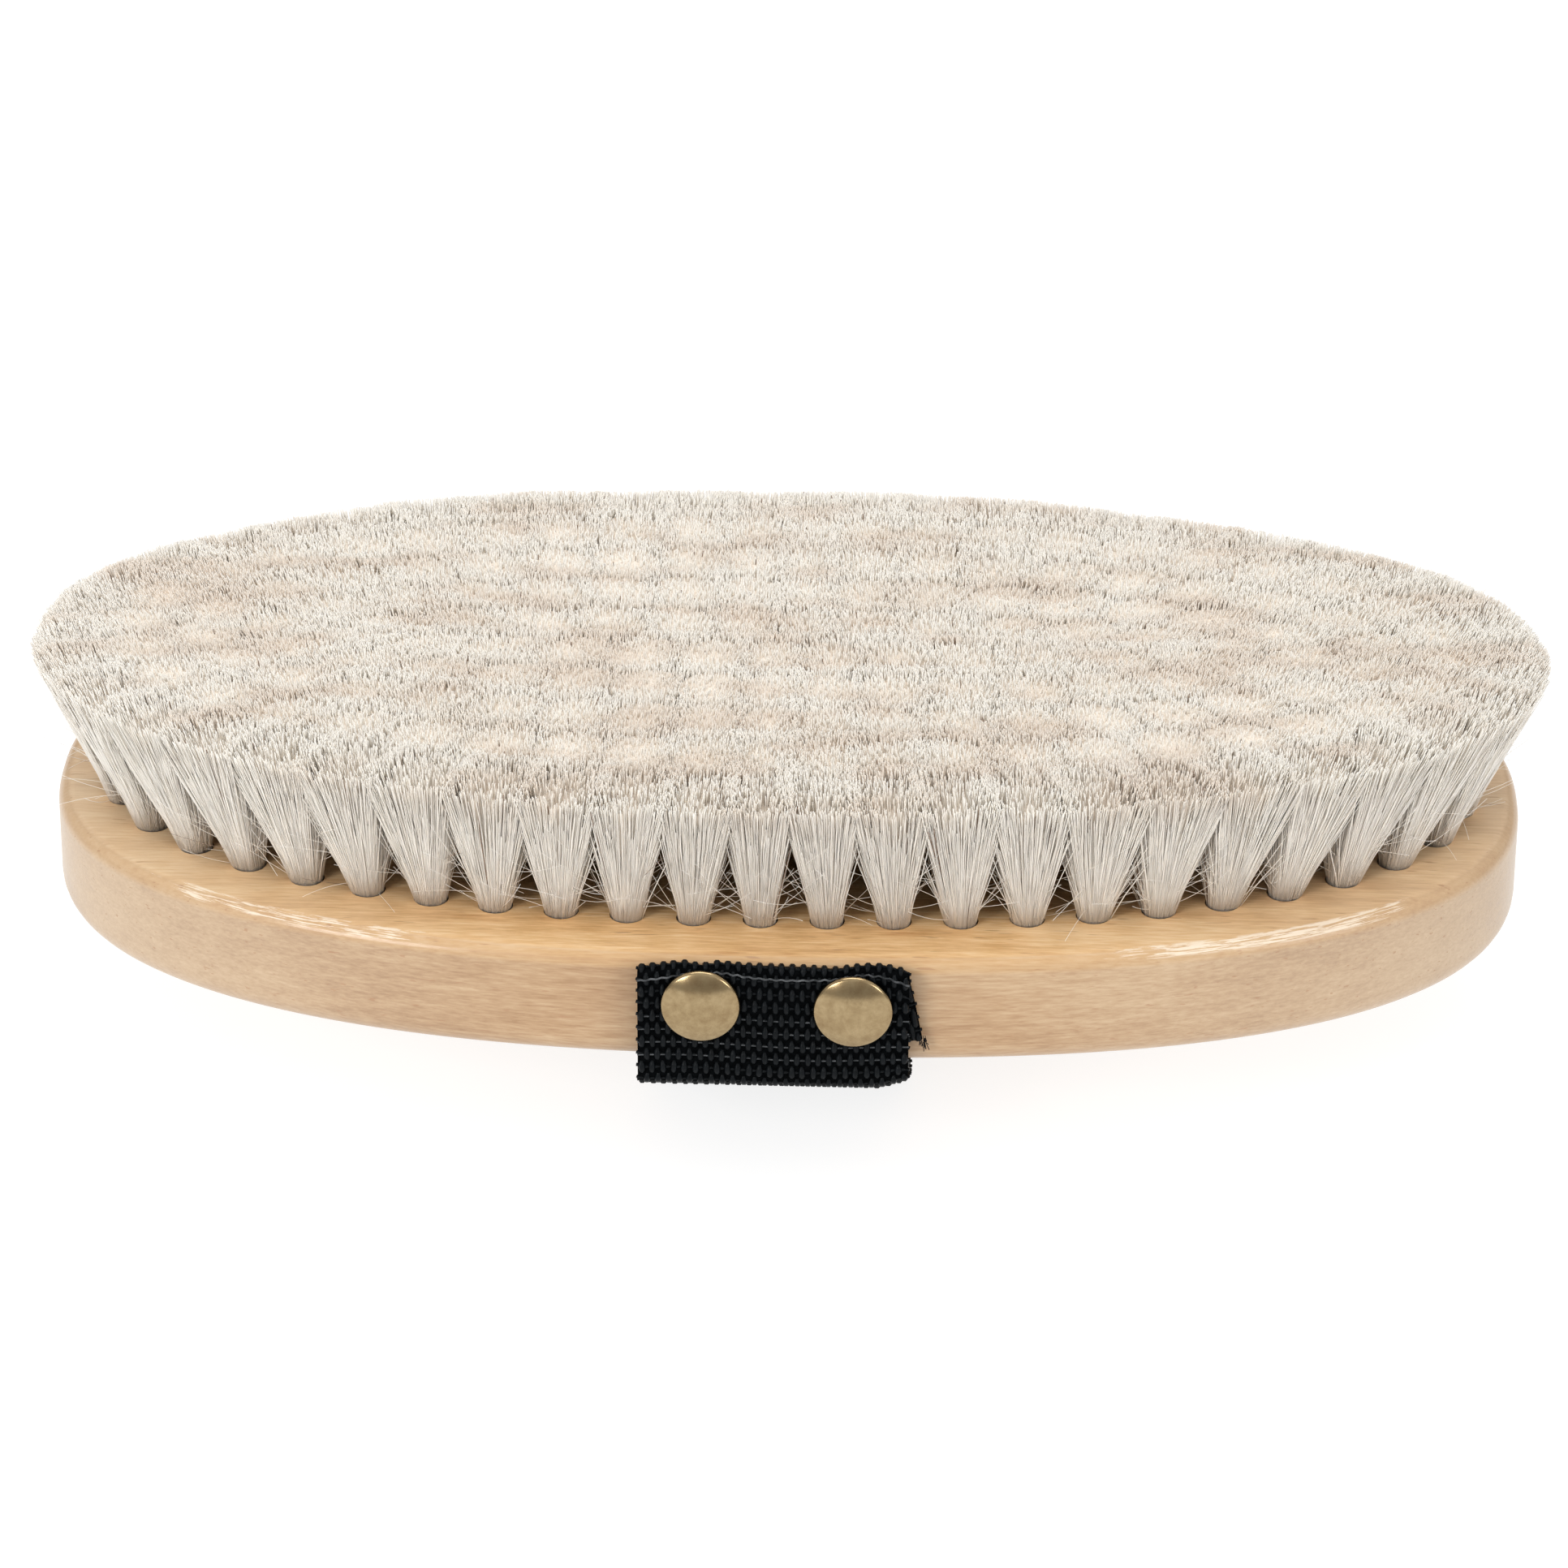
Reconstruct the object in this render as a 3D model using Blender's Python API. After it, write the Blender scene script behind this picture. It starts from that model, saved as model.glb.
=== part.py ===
"""Oval dry body brush, standing bristles up on its hand strap.

A wooden block is drilled with closed rings of blind holes, and each hole holds a tuft of goat hair that
leans outwards and widens until the tufts meet in one trimmed face. A band of webbing crosses under the
block as a hand strap. Each end of it is folded under and held to the block's side by two domed nails.
Units are metres, +X runs along the block, +Z points up, and the origin is on the floor under its centre.
"""

import bisect
import math

import bmesh
import bpy
from mathutils import Matrix, Vector

GAP = 0.0003  # clearance between two solids that touch on the real brush

# Block
BLOCK_HALF = (0.111, 0.057)
BLOCK_POWER = 2.4  # exponent of the superellipse outline
BLOCK_THICK = 0.018
TOP_ROUND = 0.0025
BACK_ROUND = 0.0045
OUTLINE_POINTS = 56

# Hand strap
WEB_WIDTH = 0.040
WEB_THICK = 0.0015
STRAP_DROP = 0.0185  # block back to the floor
FOLD_ABOVE_TOP = 0.0007  # the folded edge stands a little proud of the block
TUCK_LENGTH = 0.0125  # how far the folded-under end reaches below the block's top
BEND_HEIGHT = 0.0176  # where the strap turns in under the block
REST_HALF = 0.027  # half length of the stretch that lies on the floor
BEND_RADIUS = 0.0025
REST_RADIUS = 0.014

BACK_Z = STRAP_DROP
TOP_Z = BACK_Z + BLOCK_THICK

# Nails
NAIL_SPOTS = (("left", -0.0105, 0.0055), ("right", 0.0116, 0.0059))  # x, and drop below the block's top
HEAD_RADIUS = 0.0058
HEAD_HEIGHT = 0.0020
HEAD_EDGE = 0.0007  # radius of the rolled edge
SHANK_RADIUS = 0.0010
SHANK_LENGTH = 0.012
NAIL_HOLE_RADIUS = 0.0013
NAIL_SEAT = BLOCK_HALF[1] + 2 * WEB_THICK + 3 * GAP  # underside of the head, from the brush's middle

# Tufts
RING_HALF = (0.102, 0.045)  # hole circle of the outermost ring
RING_STEP = 0.0099
RING_POWER = 2.3
RING_COUNTS = (50, 44, 38, 32, 26)
RING_PHASE = 0.25  # share of a pitch by which the pattern is turned round the ring
HOLE_RADIUS = 0.0026
HOLE_DEPTH = 0.012
TUFT_RADIUS = 0.00235
HAIR_HEIGHT = 0.024
FACE_HALF = (0.1156, 0.053)  # outline of the trimmed face
FACE_POWER = 2.1  # rounder than the rings of holes
FACE_STEP = FACE_HALF[1] / len(RING_COUNTS)
MID_POWER = 2.2  # outline where neighbouring tufts start to touch
CELL_SHARE = 0.47  # half width of a tuft's patch of the face, as a share of the pitch
MID_HEIGHT = 0.011  # where neighbouring tufts start to touch
BAND_HALF = 0.0038
BAND_POINTS = 48

# Colours and finishes: base colour, roughness, metallic
BEECH = ("beech", (0.62, 0.41, 0.24, 1.0), 0.35, 0.0)
GOAT_HAIR = ("goat_hair", (0.80, 0.74, 0.66, 1.0), 0.70, 0.0)
WEBBING = ("webbing", (0.012, 0.012, 0.014, 1.0), 0.85, 0.0)
BRASS = ("brass", (0.78, 0.58, 0.30, 1.0), 0.25, 1.0)


def clear_scene():
    for obj in list(bpy.data.objects):
        bpy.data.objects.remove(obj, do_unlink=True)


def material(spec):
    name, colour, roughness, metallic = spec
    found = bpy.data.materials.get(name)
    if found:
        return found
    made = bpy.data.materials.new(name)
    made.use_nodes = True
    shader = made.node_tree.nodes["Principled BSDF"]
    shader.inputs["Base Color"].default_value = colour
    shader.inputs["Roughness"].default_value = roughness
    shader.inputs["Metallic"].default_value = metallic
    made.diffuse_color = colour
    return made


def add_object(name, mesh_bm, spec=None):
    """A new object from a bmesh; with no material it is a cutter, which stays out of the render."""
    bmesh.ops.recalc_face_normals(mesh_bm, faces=mesh_bm.faces)
    mesh = bpy.data.meshes.new(name)
    mesh_bm.to_mesh(mesh)
    mesh_bm.free()
    obj = bpy.data.objects.new(name, mesh)
    bpy.context.scene.collection.objects.link(obj)
    if spec is None:
        obj.hide_render = True
        obj.display_type = "WIRE"
    else:
        mesh.materials.append(material(spec))
        mesh.shade_smooth()
        mesh.set_sharp_from_angle(angle=math.radians(35))
    return obj


def boolean(obj, other, operation):
    modifier = obj.modifiers.new(other.name, "BOOLEAN")
    modifier.object = other
    modifier.operation = operation


def superellipse(half, power, angle):
    """Point of the outline |x/a|^n + |y/b|^n = 1 at a parameter angle."""
    cos, sin = math.cos(angle), math.sin(angle)
    return Vector((
        half[0] * math.copysign(abs(cos) ** (2 / power), cos),
        half[1] * math.copysign(abs(sin) ** (2 / power), sin),
    ))


def inset(half, by):
    return half[0] - by, half[1] - by


def blend(first, second, share):
    return tuple(a + (b - a) * share for a, b in zip(first, second))


def angles_at(half, power, shares):
    """Parameter angles at shares of a superellipse's length, counted from the middle of the front."""
    fine = 2400
    angles = [2 * math.pi * i / fine - math.pi / 2 for i in range(fine + 1)]
    points = [superellipse(half, power, angle) for angle in angles]
    lengths = [0.0]
    for before, after in zip(points, points[1:]):
        lengths.append(lengths[-1] + (after - before).length)
    found = []
    for share in shares:
        target = lengths[-1] * (share % 1)
        k = bisect.bisect_right(lengths, target) - 1
        part = (target - lengths[k]) / (lengths[k + 1] - lengths[k])
        found.append(angles[k] + part * (angles[k + 1] - angles[k]))
    return found


def loft(bm, rows):
    """Closed skin through rows of points, each row with the same number, and a cap at each end."""
    loops = [[bm.verts.new(point) for point in row] for row in rows]
    for low, high in zip(loops, loops[1:]):
        for i in range(len(low)):
            j = (i + 1) % len(low)
            bm.faces.new((low[i], low[j], high[j], high[i]))
    bm.faces.new(loops[0][::-1])
    bm.faces.new(loops[-1])


def circle(centre, radius, z, sides):
    return [
        Vector((
            centre.x + radius * math.cos(2 * math.pi * i / sides),
            centre.y + radius * math.sin(2 * math.pi * i / sides),
            z,
        ))
        for i in range(sides)
    ]


def ring_half(ring):
    return inset(RING_HALF, RING_STEP * ring)


def face_half(edge):
    """Outline number edge of the trimmed face: 0 is its rim, and each ring of tufts lies between two."""
    return inset(FACE_HALF, FACE_STEP * edge)


def tuft_angles(ring, beside=0.0):
    """Angle of each tuft of a ring, or of the point that many pitches beside it."""
    count = RING_COUNTS[ring]
    shares = [(i + 0.5 + RING_PHASE + beside) / count for i in range(count)]
    return angles_at(ring_half(ring), RING_POWER, shares)


def tuft_centres(ring):
    return [superellipse(ring_half(ring), RING_POWER, angle) for angle in tuft_angles(ring)]


def hole_sides(ring):
    return 8 if ring == 0 else 6


def hole_cutter():
    bm = bmesh.new()
    for ring in range(len(RING_COUNTS)):
        for centre in tuft_centres(ring):
            rows = [
                circle(centre, HOLE_RADIUS, z, hole_sides(ring))
                for z in (TOP_Z - HOLE_DEPTH, TOP_Z + HOLE_DEPTH)
            ]
            loft(bm, rows)
    return add_object("tuft_holes", bm)


def nail_places():
    """Name and frame of each nail; the frame's local Z runs out of the block along the nail."""
    for side, where in ((-1, "front"), (1, "back")):
        for hand, x, drop in NAIL_SPOTS:
            turn = Matrix.Rotation(math.pi / 2 * -side, 4, "X")
            yield f"nail_{where}_{hand}", Matrix.Translation((x, 0, TOP_Z - drop)) @ turn


def add_turned(bm, profile, segments, place):
    """Turns (radius, along) points round the local Z axis, closes both ends, and puts the result in place."""
    rows = [circle(Vector((0, 0)), radius, along, segments) for radius, along in profile]
    loft(bm, [[place @ point for point in row] for row in rows])


def nail_hole_cutter():
    inner = NAIL_SEAT - SHANK_LENGTH - GAP
    outer = NAIL_SEAT + GAP
    bm = bmesh.new()
    for _, place in nail_places():
        add_turned(bm, ((NAIL_HOLE_RADIUS, inner), (NAIL_HOLE_RADIUS, outer)), 12, place)
    return add_object("nail_holes", bm)


def block_profile():
    """(inset from the outline, height) up the block's side, with a quarter round at each edge."""
    steps = 3
    points = []
    for i in range(steps + 1):
        turn = math.pi / 2 * i / steps
        points.append((BACK_ROUND * (1 - math.sin(turn)), BACK_Z + BACK_ROUND * (1 - math.cos(turn))))
    for i in range(steps + 1):
        turn = math.pi / 2 * i / steps
        points.append((TOP_ROUND * (1 - math.cos(turn)), TOP_Z - TOP_ROUND * (1 - math.sin(turn))))
    return points


def add_block():
    angles = [2 * math.pi * i / OUTLINE_POINTS for i in range(OUTLINE_POINTS)]
    rows = []
    for by, z in block_profile():
        outline = [superellipse(inset(BLOCK_HALF, by), BLOCK_POWER, angle) for angle in angles]
        rows.append([point.to_3d() + Vector((0, 0, z)) for point in outline])
    bm = bmesh.new()
    loft(bm, rows)
    block = add_object("block", bm, BEECH)
    boolean(block, hole_cutter(), "DIFFERENCE")
    return block


def rounded(corners, radii, steps):
    """Polyline through corners with an arc of the given radius at each inner one."""
    path = [corners[0]]
    for before, corner, after, radius in zip(corners, corners[1:], corners[2:], radii):
        into = (before - corner).normalized()
        out = (after - corner).normalized()
        half_angle = into.angle(out) / 2
        reach = radius / math.tan(half_angle)
        centre = corner + (into + out).normalized() * radius / math.sin(half_angle)
        start = (corner + into * reach - centre).normalized()
        end = (corner + out * reach - centre).normalized()
        for i in range(steps + 1):
            path.append(centre + start.slerp(end, i / steps) * radius)
    path.append(corners[-1])
    return path


def strap_path():
    """Centre line of the webbing in the YZ plane, from one tucked end round under the block to the other."""
    tucked = BLOCK_HALF[1] + GAP + WEB_THICK / 2
    outer = tucked + WEB_THICK + GAP
    fold = TOP_Z + FOLD_ABOVE_TOP - WEB_THICK / 2
    half = [
        Vector((-tucked, TOP_Z - TUCK_LENGTH)),
        Vector((-tucked, fold)),
        Vector((-outer, fold)),
        Vector((-outer, BEND_HEIGHT)),
        Vector((-REST_HALF, WEB_THICK / 2)),
    ]
    fold_radius = (outer - tucked) / 2 * 0.999
    radii = [fold_radius, fold_radius, BEND_RADIUS, REST_RADIUS]
    corners = half + [Vector((-p.x, p.y)) for p in reversed(half)]
    return rounded(corners, radii + radii[::-1], 4)


def offset_path(path, by):
    """Path moved sideways by a distance, mitred at each point."""
    moved = []
    for i, point in enumerate(path):
        along = [(path[k + 1] - path[k]).normalized() for k in (i - 1, i) if 0 <= k < len(path) - 1]
        normals = [Vector((-d.y, d.x)) for d in along]
        mitre = sum(normals, Vector((0, 0))).normalized()
        moved.append(point + mitre * by / mitre.dot(normals[0]))
    return moved


def add_strap():
    path = strap_path()
    section = offset_path(path, WEB_THICK / 2) + offset_path(path, -WEB_THICK / 2)[::-1]
    bm = bmesh.new()
    loft(bm, [[Vector((x, p.x, p.y)) for p in section] for x in (-WEB_WIDTH / 2, WEB_WIDTH / 2)])
    return add_object("hand_strap", bm, WEBBING)


def add_nail(name, place):
    """Low crowned head with a rolled edge, and pointed shank, turned as one piece."""
    tip = NAIL_SEAT - SHANK_LENGTH
    crown_radius, crown_height = HEAD_RADIUS - HEAD_EDGE, HEAD_HEIGHT / 2
    ball = (crown_radius**2 + crown_height**2) / (2 * crown_height)
    profile = [(0.0001, tip), (SHANK_RADIUS, tip + 0.003), (SHANK_RADIUS, NAIL_SEAT)]
    profile += [(HEAD_RADIUS, NAIL_SEAT), (HEAD_RADIUS - 0.3 * HEAD_EDGE, NAIL_SEAT + 0.7 * crown_height)]
    for share in (1.0, 0.66, 0.33, 0.05):
        turn = math.asin(crown_radius / ball) * share
        profile.append((ball * math.sin(turn), NAIL_SEAT + HEAD_HEIGHT - ball * (1 - math.cos(turn))))
    bm = bmesh.new()
    add_turned(bm, profile, 18, place)
    return add_object(name, bm, BRASS)


def tuft_cell(ring, angles):
    """Eight corners of a tuft's patch of the trimmed face, in order round it."""
    rim = inset(face_half(ring), GAP)
    core = inset(face_half(ring + 1), -2 * GAP)
    middle = blend(rim, core, 0.5)
    before, here, after = angles
    around = (
        (rim, before), (rim, here), (rim, after), (middle, after),
        (core, after), (core, here), (core, before), (middle, before),
    )
    return [superellipse(half, FACE_POWER, angle) for half, angle in around]


def add_tuft(name, ring, angles):
    """One tuft: round in its hole, then widening to its patch of the face."""
    root = superellipse(ring_half(ring), RING_POWER, angles[1])
    cell = tuft_cell(ring, angles)
    centre = sum(cell, Vector((0, 0))) / len(cell)
    foot = [root + (corner - centre).normalized() * TUFT_RADIUS for corner in cell]
    middle = [low.lerp(high, 0.6) for low, high in zip(foot, cell)]
    rows = (
        (foot, TOP_Z - HOLE_DEPTH + GAP),
        (foot, TOP_Z + GAP),
        (middle, TOP_Z + HAIR_HEIGHT / 2),
        (cell, TOP_Z + HAIR_HEIGHT),
    )
    bm = bmesh.new()
    loft(bm, [[point.to_3d() + Vector((0, 0, z)) for point in row] for row, z in rows])
    return add_object(name, bm, GOAT_HAIR)


def add_outer_tufts():
    beside = (-CELL_SHARE, 0.0, CELL_SHARE)
    for i, angles in enumerate(zip(*(tuft_angles(0, by) for by in beside))):
        add_tuft(f"tuft_{i + 1:02d}", 0, angles)


def band_rows(ring):
    """Section of a ring's joined upper half: its low outer, high outer, high inner and low inner edges.

    Each is the half sides and the power of an outline, and its height.
    """
    rim = inset(face_half(ring), GAP)
    core = inset(face_half(ring + 1), -GAP)
    core = (core[0], max(core[1], 2 * GAP))
    middle = blend(ring_half(ring), blend(rim, core, 0.5), MID_HEIGHT / HAIR_HEIGHT)
    low, high = TOP_Z + MID_HEIGHT, TOP_Z + HAIR_HEIGHT
    return (
        (inset(middle, -BAND_HALF), MID_POWER, low),
        (rim, FACE_POWER, high),
        (core, FACE_POWER, high),
        (inset(middle, BAND_HALF), MID_POWER, low),
    )


def ring_legs(ring):
    """The free lower ends of a ring's tufts, each reaching into its hole."""
    high = blend(*(half for half, _, _ in band_rows(ring)[0::3]), 0.5)
    bm = bmesh.new()
    for angle in tuft_angles(ring):
        root = superellipse(ring_half(ring), RING_POWER, angle)
        crown = superellipse(high, MID_POWER, angle)
        rows = ((root, TOP_Z - HOLE_DEPTH + GAP), (root, TOP_Z + GAP), (crown, TOP_Z + MID_HEIGHT + 3 * GAP))
        loft(bm, [circle(centre, TUFT_RADIUS, z, hole_sides(ring)) for centre, z in rows])
    return add_object(f"ring_{ring + 1}_legs", bm)


def add_tuft_ring(ring):
    """One inner ring: separate tufts below, joined where their hair meets."""
    bm = bmesh.new()
    section = band_rows(ring)
    loops = []
    for half, power, z in section:
        points = [superellipse(half, power, 2 * math.pi * i / BAND_POINTS) for i in range(BAND_POINTS)]
        loops.append([bm.verts.new((p.x, p.y, z)) for p in points])
    for k, loop in enumerate(loops):
        following = loops[(k + 1) % len(loops)]
        for i in range(BAND_POINTS):
            j = (i + 1) % BAND_POINTS
            bm.faces.new((loop[i], loop[j], following[j], following[i]))
    band = add_object(f"tuft_ring_{ring + 1}", bm, GOAT_HAIR)
    boolean(band, ring_legs(ring), "UNION")
    return band


def main():
    clear_scene()
    block = add_block()
    strap = add_strap()
    nail_holes = nail_hole_cutter()
    boolean(block, nail_holes, "DIFFERENCE")
    boolean(strap, nail_holes, "DIFFERENCE")
    for name, place in nail_places():
        add_nail(name, place)
    add_outer_tufts()
    for ring in range(1, len(RING_COUNTS)):
        add_tuft_ring(ring)


main()
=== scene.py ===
"""Looks of the oval body dry brush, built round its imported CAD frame.

Every tuft is grown hair by hair, the strap is woven yarn by yarn, and the block and nails are turned and
drilled at full smoothness. Lengths are metres; +X runs along the block and the front is towards -Y.
"""

import math

import bpy
import numpy as np
from mathutils import Matrix, Vector


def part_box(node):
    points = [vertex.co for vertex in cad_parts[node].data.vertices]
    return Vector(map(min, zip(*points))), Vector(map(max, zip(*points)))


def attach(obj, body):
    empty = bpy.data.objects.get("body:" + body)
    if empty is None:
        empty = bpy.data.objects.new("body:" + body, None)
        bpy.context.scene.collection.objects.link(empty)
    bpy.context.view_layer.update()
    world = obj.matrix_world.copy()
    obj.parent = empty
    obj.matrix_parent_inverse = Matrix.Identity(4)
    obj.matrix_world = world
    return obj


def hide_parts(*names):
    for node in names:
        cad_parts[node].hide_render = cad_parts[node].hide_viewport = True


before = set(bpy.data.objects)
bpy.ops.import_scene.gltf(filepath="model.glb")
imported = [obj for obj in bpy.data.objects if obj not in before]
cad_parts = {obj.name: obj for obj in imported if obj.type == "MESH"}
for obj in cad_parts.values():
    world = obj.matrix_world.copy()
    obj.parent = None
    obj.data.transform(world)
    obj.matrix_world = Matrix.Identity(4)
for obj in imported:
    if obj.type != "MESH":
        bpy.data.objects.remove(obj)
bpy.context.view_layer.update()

MM = 0.001

# Block, from the frame
BLOCK_LOW, BLOCK_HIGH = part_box("block")
BLOCK_HALF = np.array((BLOCK_HIGH.x, BLOCK_HIGH.y))
BACK_Z, TOP_Z = BLOCK_LOW.z, BLOCK_HIGH.z
BLOCK_POWER = 2.4  # exponent of the superellipse outline
TOP_ROUND, BACK_ROUND = 2.5 * MM, 4.5 * MM
BLOCK_POINTS, EDGE_POINTS = 320, 9  # round the outline, and over each rounded edge

# Tufts
HAIR_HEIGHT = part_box("tuft_01")[1].z - TOP_Z
RING_HALF = np.array((102.0, 45.0)) * MM  # oval through the hole centres of the outermost ring
RING_STEP = 9.9 * MM
RING_POWER = 2.3
RING_COUNTS = (50, 44, 38, 32, 26)
RING_PHASE = 0.25  # share of a pitch by which the pattern is turned round the ring
HOLE_RADIUS, HOLE_DEPTH = 2.6 * MM, 12 * MM
HOLE_POINTS = 20
TUFT_RADIUS = 2.2 * MM
FACE_HALF = np.array((115.6, 53.0)) * MM  # outline of the trimmed face
FACE_POWER = 2.1
FACE_STEP = FACE_HALF[1] / len(RING_COUNTS)
OUTER_HAIRS, INNER_HAIRS, STRAY_HAIRS = 1050, 760, 18  # for each tuft
OUTER_SEED, INNER_SEED = 100, 200
SKIN_SHARE = 0.4  # of an outer tuft's hairs, those that lie on its outside
# Places between foot and tip where hairs are bent: in the outer ring, the next one and those inside it
OUTER_BENDS = (-0.04, 0.2, 0.45, 0.7, 0.95, 1.0)
SECOND_BENDS = (-0.05, 0.5, 0.96, 1.0)
INNER_BENDS = (0.6, 0.96, 1.0)
HAIR_RADII, STRAY_RADIUS = (0.065, 0.105), 0.05  # millimetres
HAIR_SIDES = 3
FLARE = 1.14  # how far tips spread past their own patch of the face
CLUMP_PULL = 0.2  # share of the way that each tip moves to the middle of its lock
SHOULDER_DROP = 2.3 * MM  # the trimmed face rolls off by this at its rim
CLUMPS = 70  # locks that the hairs of a tuft gather into
CORE_FOOT, CORE_POINTS = -0.1, 10
OUTER_CORE, INNER_CORE = (0.89, 0.88, 0.07), (0.95, 1.0, 0.0)  # (height, fill, dip) as shares of the tuft
RING_PIECES = (4, 3, 2, 2)  # each inner ring's hair is made in this many pieces

# Strap
WEB_WIDTH, WEB_THICK = 40 * MM, 1.5 * MM
YARN_PITCH, ROW_PITCH = 0.78 * MM, 2.16 * MM
WARP_PIECES = 2  # the lengthwise yarns are made in this many pieces
FLOAT_BIAS = 0.42  # how much shorter the floats on the outside are than those on the inside
FLOAT_EDGE = 4.0  # how sharply a yarn changes sides
YARN_LIFT, YARN_HALF_THICK = 0.36 * MM, 0.32 * MM
YARN_NARROW, YARN_SWELL = 0.31, 0.20  # half width between floats, and what a float adds, in millimetres
PICK_RADIUS, PICK_SWING = 0.26 * MM, 0.08 * MM
TUCK_LENGTH = 12.5 * MM  # how far the folded-under end reaches below the block's top
TUCK_SHIFT = 2.1 * MM  # how far it sticks out past the front layer
FOLD_ABOVE_TOP = 0.7 * MM
FOLD_TO_THREAD = 14.4 * MM  # along the webbing from its cut end
STRAP_GAP = 0.3 * MM  # between the block, the folded-under end and the front layer
BEND_Z, BEND_RADIUS = 17.6 * MM, 2.5 * MM  # where the strap turns in under the block
REST_HALF, REST_RADIUS = 27 * MM, 14 * MM  # the stretch that lies on the floor
FRAY_FIBRES, CORNER_FIBRES = 46, 14  # at each cut end, and those of them at its right corner
GLINT_ROWS = (3, 4, 5, 6)  # rows below the thread where a grey pick showing between the floats is a painted glint of the weft
# (across, rise) of the folded edge in millimetres: pinched above the nails, standing up beside them
FOLD_WAVE = (
    (-20, -0.6), (-16, -0.1), (-13, 0.3), (-10.5, -0.2), (-8, 0.4),
    (-4, 0.1), (5, 0.0), (9, -0.2), (13, 0.5), (16, 0.5), (20, -0.6),
)

# Nails
NAIL_RADIUS, NAIL_HEIGHT = 5.8 * MM, 2.0 * MM
NAIL_CROWN_RADIUS, NAIL_CROWN_TILT = 5.45 * MM, math.radians(28)  # where crown and rolled edge meet
NAIL_HOLLOW = 0.2 * MM  # of the head's underside, inside its rim
SHANK_RADIUS, SHANK_LENGTH, SHANK_STRAIGHT = 1.0 * MM, 12 * MM, 9 * MM
NAIL_POINTS = 64

# (name, place, size, power) of each light
LIGHTS = (
    ("overhead", (0.0, 0.2, 1.1), (0.9, 0.35), 3.7),
    ("front_left", (-0.8, -1.1, 0.7), (0.5, 0.5), 8.8),
    ("front_right", (1.0, -0.9, 0.55), (0.5, 0.5), 3.8),
)

# Camera
CAMERA_DISTANCE, CAMERA_LENS, SENSOR_WIDTH = 1.0, 150.6, 36.0
CAMERA_RISE, CAMERA_SWING, CAMERA_ROLL = math.radians(28.62), math.radians(1.89), math.radians(-0.33)
AIM_BELOW, AIM_LEFT = 1.65 * MM, 0.58 * MM  # of the middle of the block's top


# ---------------------------------------------------------------- materials


class Nodes:
    """A material's node tree, with short calls to add and join nodes."""

    def __init__(self, name):
        self.material = bpy.data.materials.new(name)
        self.material.use_nodes = True
        self.tree = self.material.node_tree
        self.shader = self.tree.nodes["Principled BSDF"]
        self.place = self.add("ShaderNodeTexCoord").outputs["Object"]

    def add(self, kind, inputs=None, **settings):
        node = self.tree.nodes.new(kind)
        for key, value in settings.items():
            setattr(node, key, value)
        for key, value in (inputs or {}).items():
            if isinstance(value, bpy.types.NodeSocket):
                self.tree.links.new(value, node.inputs[key])
            else:
                node.inputs[key].default_value = value
        return node

    def stretched(self, scale):
        """Object coordinates multiplied along each axis."""
        return self.add("ShaderNodeMapping", {"Vector": self.place, "Scale": scale}).outputs[0]

    def noise(self, vector, scale, detail=3.0, roughness=0.5):
        inputs = {"Vector": vector, "Scale": scale, "Detail": detail, "Roughness": roughness}
        return self.add("ShaderNodeTexNoise", inputs).outputs[0]

    def remap(self, value, low, high, to_low=0.0, to_high=1.0):
        inputs = {"Value": value, "From Min": low, "From Max": high, "To Min": to_low, "To Max": to_high}
        return self.add("ShaderNodeMapRange", inputs, clamp=True).outputs[0]

    def maths(self, operation, *values):
        node = self.add("ShaderNodeMath", operation=operation)
        for socket, value in zip(node.inputs, values):
            if isinstance(value, bpy.types.NodeSocket):
                self.tree.links.new(value, socket)
            else:
                socket.default_value = value
        return node.outputs[0]

    def ramp(self, value, stops):
        node = self.add("ShaderNodeValToRGB", {"Fac": value})
        elements = node.color_ramp.elements
        while len(elements) < len(stops):
            elements.new(0.5)
        for element, (position, colour) in zip(elements, stops):
            element.position = position
            element.color = (*colour, 1.0)
        return node.outputs[0]

    def mix(self, share, first, second, blend="MIX"):
        node = self.add("ShaderNodeMix", data_type="RGBA", blend_type=blend)
        for socket, value in ((node.inputs[0], share), (node.inputs[6], first), (node.inputs[7], second)):
            if isinstance(value, bpy.types.NodeSocket):
                self.tree.links.new(value, socket)
            else:
                socket.default_value = value if isinstance(value, float) else (*value, 1.0)
        return node.outputs[2]

    def bump(self, height, strength, distance):
        inputs = {"Height": height, "Strength": strength, "Distance": distance}
        return self.add("ShaderNodeBump", inputs).outputs[0]

    def shade(self, **inputs):
        """Sets the shader's inputs, named with underscores for spaces."""
        for key, value in inputs.items():
            socket = self.shader.inputs[key.replace("_", " ")]
            if isinstance(value, bpy.types.NodeSocket):
                self.tree.links.new(value, socket)
            else:
                socket.default_value = value
        return self.material


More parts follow.
